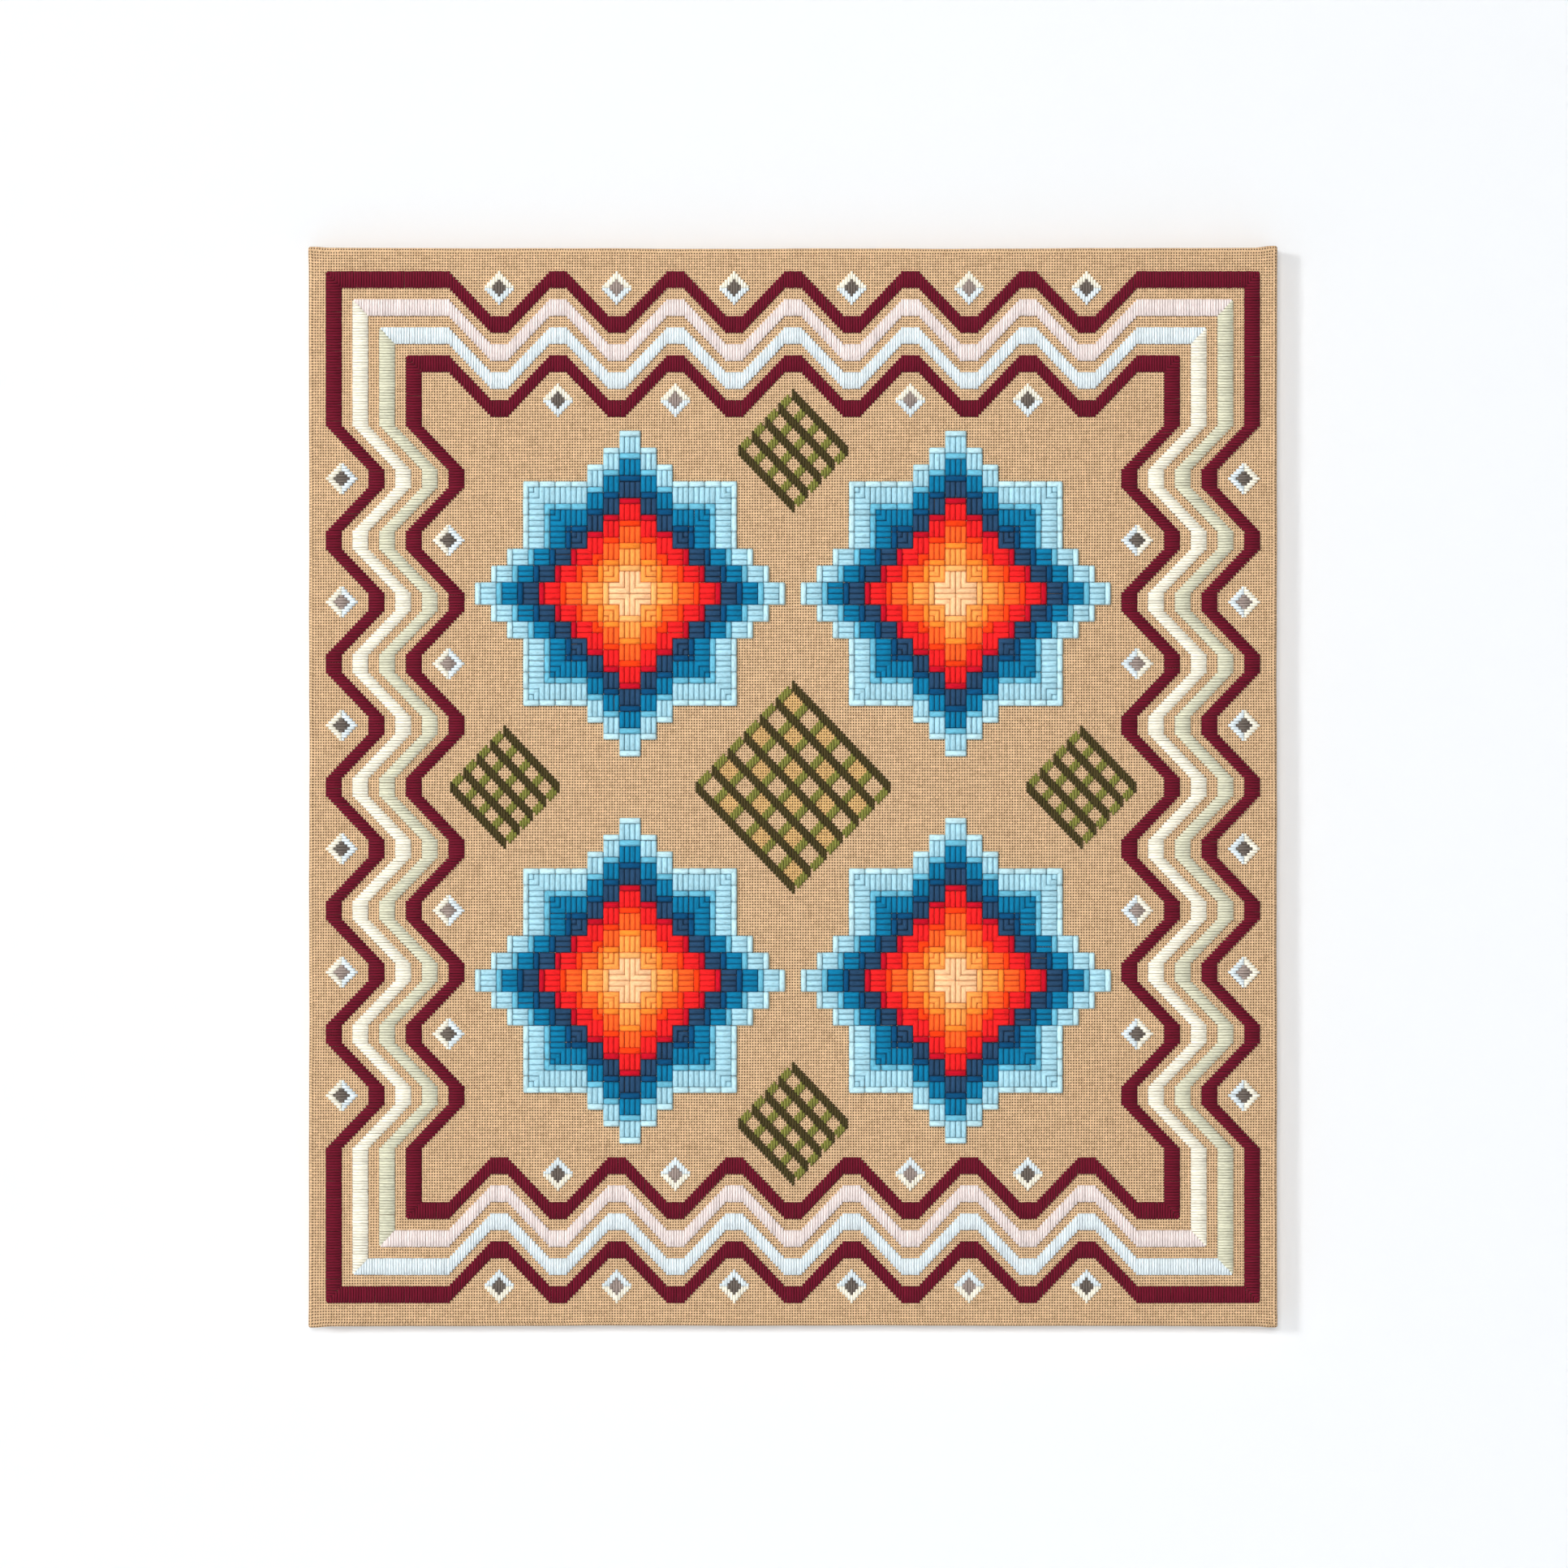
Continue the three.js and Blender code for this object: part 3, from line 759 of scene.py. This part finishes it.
def bar_mesh(side, bars, canvas):
    """A bar: its section carried along one side, cut on the mitre at each end and closed there by fans."""
    section = bar_section(bars, canvas)
    spare = bars.drawn_in + canvas.thickness + bars.gap
    half_x, half_z = canvas.width / 2 - spare, canvas.height / 2 - spare
    half, out = (half_z, half_x) if side in ("left", "right") else (half_x, half_z)
    shares = np.linspace(-1, 1, BAR_STATIONS)
    inset, depth = section[:, 0], section[:, 1]
    along = shares[:, None] * (half - inset - bars.gap / math.sqrt(2))[None]
    x, z = turned(side, along, np.broadcast_to(out - inset, along.shape))
    body = np.stack([x, np.broadcast_to(depth, x.shape), z + middle()], -1)
    points = np.concatenate([body.reshape(-1, 3), body[[0, -1]].mean(axis=1)])
    columns = len(section)
    number = np.arange(along.size).reshape(along.shape)
    following = np.roll(number, -1, axis=1)
    quads = np.stack([number[:-1], following[:-1], following[1:], number[1:]], -1).reshape(-1, 4)
    first, last = along.size, along.size + 1
    start = np.stack([number[0], np.full(columns, first), following[0]], -1)
    end = np.stack([following[-1], np.full(columns, last), number[-1]], -1)
    around = np.concatenate([[0.0], np.cumsum(np.linalg.norm(np.diff(section, axis=0), axis=1))])
    around = np.broadcast_to(around + GRAIN_SHIFT * SIDES.index(side), along.shape)
    place_on = np.stack([along, around], -1).reshape(-1, 2)
    place_on = np.concatenate([place_on, place_on[[0, -1]]])
    faces = quads.tolist() + start.tolist() + end.tolist()
    mesh = bpy.data.meshes.new(f"bar_{side}_wood")
    mesh.from_pydata(points, [], faces)
    corners = np.concatenate([quads.ravel(), start.ravel(), end.ravel()])
    layer = mesh.uv_layers.new(name="grain")
    layer.uv.foreach_set("vector", place_on[corners].astype(np.float32).ravel())
    mesh.shade_smooth()
    mesh.set_sharp_from_angle(angle=math.radians(SHARP_ANGLE))
    mesh.validate()
    return mesh


# Counted stitches: each row of an array is where one stitch starts and ends, as threads across and up


def counted(side, along, low, high, x=0, z=0):
    """Stitches square to a side, between two distances out from a centre."""
    start = turned(side, along, low)
    end = turned(side, along, high)
    return np.stack([start[0] + x, start[1] + z, end[0] + x, end[1] + z], -1).astype(float)


def zigzag(along, design):
    """Threads that the border is drawn inward: flat, slope, flat, slope, repeated from a side's middle."""
    deep, flat = design.wave_depth, design.wave_flat
    from_flat = np.abs(along) - flat / 2
    within = np.mod(from_flat, 2 * (deep + flat))
    rise = np.clip(within, 0, deep)
    fall = np.clip(within - deep - flat, 0, deep)
    drawn = np.where(from_flat > 0, rise - fall, 0)
    return np.where(from_flat < design.wave_repeats * 2 * (deep + flat), drawn, 0).astype(int)


def border_row(side, row, design):
    """One row of the border along one side, each stitch ending where the mitre cuts it."""
    upright = side in ("left", "right")
    half, out = (
        (design.border_up, design.border_across) if upright else (design.border_across, design.border_up)
    )
    along = np.arange(-half, half + 1)
    outer = zigzag(along, design) + row * (design.stitch + design.bare)
    to_mitre = half - np.abs(along)
    inner = np.minimum(outer + design.stitch, to_mitre + design.seam)
    kept = to_mitre > outer
    return counted(side, along[kept], (out - inner)[kept], (out - outer)[kept])


def star_level(along, row, design):
    """Height of a row's outer line over each column: whole steps down from the point, then a flat."""
    drops = np.searchsorted(np.cumsum(STAR_TREADS), np.abs(along))
    return design.star_tip - design.star_drop * drops - row * design.star_row


def on_stars(stitches, design):
    """The stitches of one star, laid round all four star centres."""
    centres = [(x * design.star_across, z * design.star_up) for x in (-1, 1) for z in (-1, 1)]
    return np.concatenate([stitches + np.array([x, z, x, z]) for x, z in centres])


def star_row(row, design):
    """Long stitches of one row, side by side, from below its edging to the next row or the diagonal."""
    half = design.star_strand / 2
    column = np.arange(half, design.star_tip, design.star_strand)
    along = np.concatenate([-column[::-1], column])
    outer = star_level(along, row, design)
    seam = np.abs(along) - half
    heart = row == len(STAR_ROWS) - 1
    low = seam if heart else np.maximum(outer - design.star_row, seam)
    high = outer - design.star_edging
    kept = high > low
    quarters = [counted(side, along[kept], low[kept], high[kept]) for side in SIDES]
    return on_stars(np.concatenate(quarters), design)


def star_edging(row, design):
    """Backstitches along the outer ends of one row: one to a step, cut off at the diagonals."""
    bound = np.arange(STAR_TREADS[0], design.star_tip, STAR_TREADS[-1])
    start = np.concatenate([-bound[:0:-1], -bound[:1], bound[:-1]])
    end = np.concatenate([-bound[-2::-1], bound[:1], bound[1:]])
    outer = star_level((start + end) / 2, row, design)
    start, end = np.maximum(start, -outer), np.minimum(end, outer)
    kept = end > start
    level = (outer - design.star_edging / 2)[kept]
    quarters = []
    for side in SIDES:
        from_x, from_z = turned(side, start[kept], level)
        to_x, to_z = turned(side, end[kept], level)
        quarters.append(np.stack([from_x, from_z, to_x, to_z], -1).astype(float))
    return on_stars(np.concatenate(quarters), design)


def trellis_bars(spot, rising, design):
    """Upright stitches stepping along one diagonal of a trellis diamond. Rising bars pass under."""
    half, spacing = design.trellis_half, spot["spacing"]
    reach = spot["bars"] * spacing
    along, bar = np.meshgrid(np.arange(-reach, reach + 1), np.arange(-spot["bars"], spot["bars"] + 1))
    centre = (along if rising else -along) + bar * spacing
    kept = np.abs(along) + np.abs(centre) <= reach
    along, centre = along[kept], centre[kept]
    low, high = centre - half, centre + half
    if rising:
        crossing = -along + spacing * np.round((centre + along) / spacing).astype(int)
        away = centre - crossing
        low = np.where((away >= 0) & (away < 2 * half), crossing + half, low)
        high = np.where((away < 0) & (away > -2 * half), crossing - half, high)
    worked = high > low
    return counted("top", along[worked], low[worked], high[worked], spot["x"], spot["z"])


def accent_diamonds(part, heart, design):
    """One part of the small diamonds on all sides: their heart, or the outer or inner tip round it."""
    columns = np.arange(-design.accent_half, design.accent_half + 1)
    whole = design.accent_half - np.abs(columns)
    core = np.maximum(design.accent_heart - np.abs(columns), 0)
    low, high = {"heart": (-core, core), "outer": (core, whole), "inner": (-whole, -core)}[part]
    kept = high > low
    half_wave = design.wave_depth + design.wave_flat
    made = []
    for side in SIDES:
        out = design.border_across if side in ("left", "right") else design.border_up
        for spot in ACCENT_SPOTS:
            if heart in (None, spot["heart"]):
                from_middle, level = spot["half_wave"] * half_wave, out - spot["depth"]
                for centre in (-from_middle, from_middle):
                    along = centre + columns[kept]
                    made.append(counted(side, along, level + low[kept], level + high[kept]))
    return np.concatenate(made)


# Yarn


def both_halves(half):
    """A whole section from its right half: the left half is its mirror image."""
    right = np.array(half)
    return np.concatenate([right[::-1] * (-1, 1), right])


def both_ends(end, shoulder, length):
    """Places, widths and heights along strands of those lengths: one end's shape and its mirror image."""
    lean, wide, tall = np.array(end).T
    in_from_end = np.minimum(shoulder, SHOULDER_SHARE * length)[:, None] * lean
    run = np.concatenate([in_from_end, (length[:, None] - in_from_end)[:, ::-1]], axis=1)
    return run, np.append(wide, wide[::-1]), np.append(tall, tall[::-1])


def strands(start, end, width, rise, base, outward, section, tip, shoulder):
    """Closed strands of yarn: a section carried from start to end, with width and height changing along it.

    Gives the points, the faces, each point's place across and along its strand, the strand it belongs to,
    and how much light reaches it: less where the strand dips into its hole or lies against the next.
    """
    way = end - start
    length = np.linalg.norm(way, axis=1)
    way = way / length[:, None]
    aside = np.stack([-outward * way[:, 1], outward * way[:, 0]], -1)
    run, wide, tall = both_ends(tip, shoulder, length)
    across, high = both_halves(section).T
    line = start[:, None] + way[:, None] * run[..., None]
    half = 0.5 * width[:, None] * wide
    flat = line[:, :, None] + aside[:, None, None] * (half[:, :, None] * across)[..., None]
    dip = tall < 0
    lift = np.where(dip[:, None], tall[:, None], tall[:, None] * high)
    y = base + outward * rise[:, None, None] * lift
    points = np.stack([flat[..., 0], y, flat[..., 1]], -1)
    total, steps, sides = y.shape
    number = np.arange(steps * sides).reshape(steps, sides)
    following = np.roll(number, -1, axis=1)
    tube = np.stack([number[:-1], following[:-1], following[1:], number[1:]], -1).reshape(-1, 4)
    cap = np.array([(k, k + 1, sides - 2 - k, sides - 1 - k) for k in range(sides // 2 - 1)])
    faces = np.concatenate([tube, cap[:, ::-1], cap + number[-1, 0]])
    first = np.arange(total) * steps * sides
    share_across = np.broadcast_to(np.linspace(0, 1, sides), y.shape)
    run_mm = np.broadcast_to(1000 * run[:, :, None], y.shape)
    along_light = HOLE_LIGHT + (1 - HOLE_LIGHT) * np.maximum(tall, 0) ** HOLE_POWER
    across_light = SEAM_LIGHT + (1 - SEAM_LIGHT) * high**SEAM_POWER
    light = along_light[:, None] * across_light
    return {
        "points": points.reshape(-1, 3),
        "quads": (faces[None] + first[:, None, None]).reshape(-1, 4),
        "places": np.stack([share_across, run_mm], -1).reshape(-1, 2),
        "owner": np.repeat(np.arange(total), steps * sides),
        "light": np.tile(light.ravel(), total),
    }


def stitch_piece(name, rows, tint, nodes, kind=FINE_YARN):
    """All stitches of one yarn as a joined mesh: laid stitches on the face and slanting strands behind.

    Each stitch differs a little in place, width, height and shade, by a generator seeded from the name.
    """
    scene = bpy.context.scene
    canvas, yarn = scene.needlepoint_canvas, scene.needlepoint_yarn
    pitch = np.array(pitches())
    random = np.random.default_rng(sum(map(ord, name)))
    start, end = rows[:, :2], rows[:, 2:]
    way = np.sign(end - start)
    threads = np.abs(end - start).sum(axis=1)
    upright = way[:, 0] == 0
    gauge = kind["threads"] * np.where(upright, pitch[0], pitch[1])
    sidewise = np.where(upright[:, None], (1.0, 0.0), (0.0, 1.0))
    total = len(rows)

    def spread(amount, *shape):
        usual = SPREAD[amount]
        most = SPREAD_LIMIT * usual
        return np.clip(random.normal(0, usual, (total, *shape)), -most, most)

    tuck = yarn.tuck + spread("tuck", 1)
    low = (start + way * tuck + sidewise * spread("place", 1)) * pitch
    high = (end - way * tuck + sidewise * spread("place", 1)) * pitch
    drop = np.array([0.0, middle()])
    width = gauge * yarn.fill * (1 + spread("width"))
    plump = np.minimum(1, PLUMP_LEAST + PLUMP_EACH * threads)
    rise = yarn.rise * kind["rise"] * plump * (1 + spread("rise"))
    shoulder = yarn.shoulder * kind["shoulder"]
    face = strands(
        low + drop, high + drop, width, rise, -canvas.depth, -1, kind["section"], kind["end"], shoulder
    )
    slant = sidewise * yarn.slant * kind["threads"]
    back_low, back_high = (start + way * tuck) * pitch, (end - way * tuck + slant) * pitch
    back_rise = yarn.back_rise * plump * (1 + spread("back_rise"))
    behind = -canvas.depth + canvas.thickness
    back = strands(
        back_low + drop, back_high + drop, width, back_rise, behind, 1, BACK_HALF, BACK_END, math.inf
    )

    shade = 1 + spread("shade")
    offset = random.uniform(0, YARN_RUN, total)
    laid = {key: np.concatenate([face[key], back[key]]) for key in ("points", "places", "owner", "light")}
    quads = np.concatenate([face["quads"], back["quads"] + len(face["points"])])
    own_offset = offset[laid["owner"]]
    places = laid["places"] + np.stack([np.floor(own_offset), own_offset], -1)
    mesh = quad_mesh(name, laid["points"], quads, places[quads.ravel()], "strand")
    # Painted shade: each stitch's random tone is darkened by the light share where it dips into a hole or
    # lies against the next strand, less in bright yarn, and kept as the shade attribute.
    passed_on = YARN_GLOW * max(linear(tint)[:3])
    lit = shade[laid["owner"]] * (1 - (1 - laid["light"]) * (1 - passed_on))
    mesh.attributes.new("shade", "FLOAT", "POINT").data.foreach_set("value", lit.astype(np.float32))
    return place(name, mesh, yarn_material(f"{name}_yarn", linear(tint)), nodes)


def yarn_colour(name):
    """The colour of a yarn in the settings."""
    return getattr(bpy.context.scene.needlepoint_yarn, name)


# Operators


class NEEDLEPOINT_OT_bars(bpy.types.Operator):
    """Cut and lay the four stretcher bars"""

    bl_idname = "needlepoint.bars"
    bl_label = "Stretcher Bars"

    def execute(self, context):
        bars, canvas = context.scene.needlepoint_bars, context.scene.needlepoint_canvas
        wood = wood_material(bars)
        for side in SIDES:
            place(f"{side}_bar", bar_mesh(side, bars, canvas), wood, [f"bar_{side}"])
        return {"FINISHED"}


class NEEDLEPOINT_OT_canvas(bpy.types.Operator):
    """Stretch the canvas over the bars and turn its hem"""

    bl_idname = "needlepoint.canvas"
    bl_label = "Canvas"

    def execute(self, context):
        canvas = context.scene.needlepoint_canvas
        mesh = quad_mesh("stretched_canvas", *canvas_shell(canvas), "cloth")
        piece = place("stretched_canvas", mesh, canvas_material(canvas), ["canvas"])
        return {"FINISHED"}


class NEEDLEPOINT_OT_border(bpy.types.Operator):
    """Work the two burgundy zigzag lines of the border"""

    bl_idname = "needlepoint.border"
    bl_label = "Border Lines"

    def execute(self, context):
        design = context.scene.needlepoint_design
        for node, row in BURGUNDY_ROWS:
            rows = np.concatenate([border_row(side, row, design) for side in SIDES])
            stitch_piece(f"{node}_stitches", rows, yarn_colour("burgundy"), [node])
        return {"FINISHED"}


class NEEDLEPOINT_OT_pale_bands(bpy.types.Operator):
    """Work the pale bands between the border lines"""

    bl_idname = "needlepoint.pale_bands"
    bl_label = "Pale Bands"

    def execute(self, context):
        design = context.scene.needlepoint_design
        for yarn in ("pink", "pale_blue", "sage", "cream"):
            worked = [
                (pale["side"], place_in, row)
                for pale in PALE_SIDES
                for place_in, row in PALE_ROWS
                if pale[place_in] == yarn
            ]
            rows = np.concatenate([border_row(side, row, design) for side, _, row in worked])
            nodes = [f"band_{side}_{place_in}" for side, place_in, _ in worked]
            stitch_piece(f"{yarn}_bands", rows, yarn_colour(yarn), nodes)
        return {"FINISHED"}


class NEEDLEPOINT_OT_stars(bpy.types.Operator):
    """Work the stepped stars, one yarn after another"""

    bl_idname = "needlepoint.stars"
    bl_label = "Stars"

    def execute(self, context):
        design = context.scene.needlepoint_design
        for row, worked in enumerate(STAR_ROWS):
            area = worked["area"]
            spots = [f"{up}_{across}" for up in ("upper", "lower") for across in ("left", "right")]
            nodes = [f"star_{spot}_{area}" for spot in spots]
            long_row, edging = worked["yarn"], worked["edging"]
            for name, rows, yarn, kind in (
                (f"star_{long_row}_row", star_row(row, design), long_row, THICK_YARN),
                (f"star_{edging}_edging", star_edging(row, design), edging, EDGING_YARN),
            ):
                stitch_piece(name, rows, yarn_colour(yarn), nodes, kind)
        return {"FINISHED"}


class NEEDLEPOINT_OT_trellis(bpy.types.Operator):
    """Work the trellis diamonds"""

    bl_idname = "needlepoint.trellis"
    bl_label = "Trellis"

    def execute(self, context):
        design = context.scene.needlepoint_design
        nodes = [spot["node"] for spot in TRELLIS_SPOTS]
        for yarn, rising in (("moss", False), ("olive", True)):
            rows = np.concatenate([trellis_bars(spot, rising, design) for spot in TRELLIS_SPOTS])
            stitch_piece(f"{yarn}_trellis", rows, yarn_colour(yarn), nodes)
        return {"FINISHED"}


class NEEDLEPOINT_OT_accents(bpy.types.Operator):
    """Work the small diamonds in the pockets of the border"""

    bl_idname = "needlepoint.accents"
    bl_label = "Small Diamonds"

    def execute(self, context):
        design = context.scene.needlepoint_design
        for yarn, part in (("cream", "outer"), ("pale_blue", "inner")):
            rows = accent_diamonds(part, None, design)
            stitch_piece(f"{yarn}_diamond_tips", rows, yarn_colour(yarn), [])
        for yarn in ("grey", "taupe"):
            rows = accent_diamonds("heart", yarn, design)
            stitch_piece(f"{yarn}_diamond_hearts", rows, yarn_colour(yarn), [])
        return {"FINISHED"}


class NEEDLEPOINT_OT_stage(bpy.types.Operator):
    """Set the pale backdrop and floor, the light and the camera"""

    bl_idname = "needlepoint.stage"
    bl_label = "Stage"

    def execute(self, context):
        scene = context.scene
        stage, canvas = scene.needlepoint_stage, scene.needlepoint_canvas
        tint = linear(stage.paint)
        lighted = {part: bpy.data.collections.new(f"lighted_{part}") for part in ("panel", "stage")}
        for piece in scene.collection.objects:
            lighted["panel"].objects.link(piece)
        half, floor = stage.reach / 2, middle() - stage.floor_drop
        top = floor + stage.reach
        wall_corners = [(-half, floor), (half, floor), (half, top), (-half, top)]
        near, far = -stage.reach, stage.reach
        floor_corners = [(-half, near), (half, near), (half, far), (-half, far)]
        wall_paint = paint_material("backdrop_paint", tint, True)
        floor_paint = paint_material("floor_paint", tint, False)
        surfaces = (
            ("backdrop", [(x, stage.wall_gap, z) for x, z in wall_corners], wall_paint),
            ("floor", [(x, y, floor) for x, y in floor_corners], floor_paint),
        )
        for name, corners, material in surfaces:
            mesh = bpy.data.meshes.new(name)
            mesh.from_pydata(corners, [], [(0, 1, 2, 3)])
            mesh.materials.append(material)
            surface = bpy.data.objects.new(name, mesh)
            surface.visible_shadow = name == "floor"
            scene.collection.objects.link(surface)
            lighted["stage"].objects.link(surface)

        glow = Nodes("surround_glow")
        shine = glow.add("ShaderNodeEmission", {"Color": tint, "Strength": stage.surround_glow})
        reach = stage.surround
        ends = [(x, y, z) for x in (-reach, reach) for y in (-reach, reach) for z in (-reach, reach)]
        mesh = bpy.data.meshes.new("surround")
        mesh.from_pydata(ends, [], BOX_FACES)
        mesh.materials.append(glow.finish(shine.outputs["Emission"]))
        surround = bpy.data.objects.new("surround", mesh)
        surround.visible_diffuse = False
        surround.visible_glossy = False
        surround.visible_shadow = False
        scene.collection.objects.link(surround)

        sky = bpy.data.worlds.new("even_light")
        sky.use_nodes = True
        sky.node_tree.nodes["Background"].inputs["Color"].default_value = (1.0, 1.0, 1.0, 1.0)
        sky.node_tree.nodes["Background"].inputs["Strength"].default_value = stage.sky_strength
        scene.world = sky

        for row in LAMPS:
            lamp = bpy.data.lights.new(row["name"], "AREA")
            lamp.energy, lamp.size = row["watts"], row["size"]
            lit = bpy.data.objects.new(row["name"], lamp)
            lit.light_linking.receiver_collection = lighted.get(row["falls_on"])
            lit.location = (row["x"], row["y"], middle() + row["up"])
            level = math.hypot(row["x"], row["y"])
            lit.rotation_euler = (math.atan2(level, row["up"]), 0.0, math.atan2(row["x"], -row["y"]))
            lit.visible_camera = False
            scene.collection.objects.link(lit)

        lens = bpy.data.cameras.new("camera")
        lens.lens = lens.sensor_width * stage.distance / stage.view
        camera = bpy.data.objects.new("camera", lens)
        camera.location = (-stage.aside, -canvas.depth - stage.distance, middle() + stage.above)
        camera.rotation_euler = (math.radians(90), 0.0, 0.0)
        scene.collection.objects.link(camera)
        scene.camera = camera
        scene.view_settings.view_transform = "Standard"
        return {"FINISHED"}


class NEEDLEPOINT_PT_panel(bpy.types.Panel):
    """Lists the pieces of the panel in the order in which they are made."""

    bl_idname = "NEEDLEPOINT_PT_panel"
    bl_label = "Needlepoint Panel"
    bl_space_type = "VIEW_3D"
    bl_region_type = "UI"
    bl_category = "Needlepoint"

    def draw(self, context):
        for maker in OPERATORS:
            self.layout.operator(maker.bl_idname)
        for name in SETTINGS:
            box = self.layout.box()
            group = getattr(context.scene, name)
            for field in group.bl_rna.properties.keys():
                if field not in ("rna_type", "name"):
                    box.prop(group, field)


OPERATORS = (
    NEEDLEPOINT_OT_bars,
    NEEDLEPOINT_OT_canvas,
    NEEDLEPOINT_OT_border,
    NEEDLEPOINT_OT_pale_bands,
    NEEDLEPOINT_OT_stars,
    NEEDLEPOINT_OT_trellis,
    NEEDLEPOINT_OT_accents,
    NEEDLEPOINT_OT_stage,
)
SETTINGS = {
    "needlepoint_canvas": CanvasSettings,
    "needlepoint_bars": BarSettings,
    "needlepoint_design": DesignSettings,
    "needlepoint_yarn": YarnSettings,
    "needlepoint_stage": StageSettings,
}


def register():
    """Registers the settings, the operators and the sidebar panel."""
    for name, group in SETTINGS.items():
        bpy.utils.register_class(group)
        setattr(bpy.types.Scene, name, bpy.props.PointerProperty(type=group))
    for cls in (*OPERATORS, NEEDLEPOINT_PT_panel):
        bpy.utils.register_class(cls)


def unregister():
    """Takes away what register added, last first."""
    for cls in (NEEDLEPOINT_PT_panel, *reversed(OPERATORS)):
        bpy.utils.unregister_class(cls)
    for name, group in reversed(SETTINGS.items()):
        delattr(bpy.types.Scene, name)
        bpy.utils.unregister_class(group)


def main():
    """Makes every piece and the stage."""
    register()
    for maker in OPERATORS:
        group, action = maker.bl_idname.split(".")
        getattr(getattr(bpy.ops, group), action)()
    bpy.context.view_layer.update()


if __name__ == "__main__":
    main()
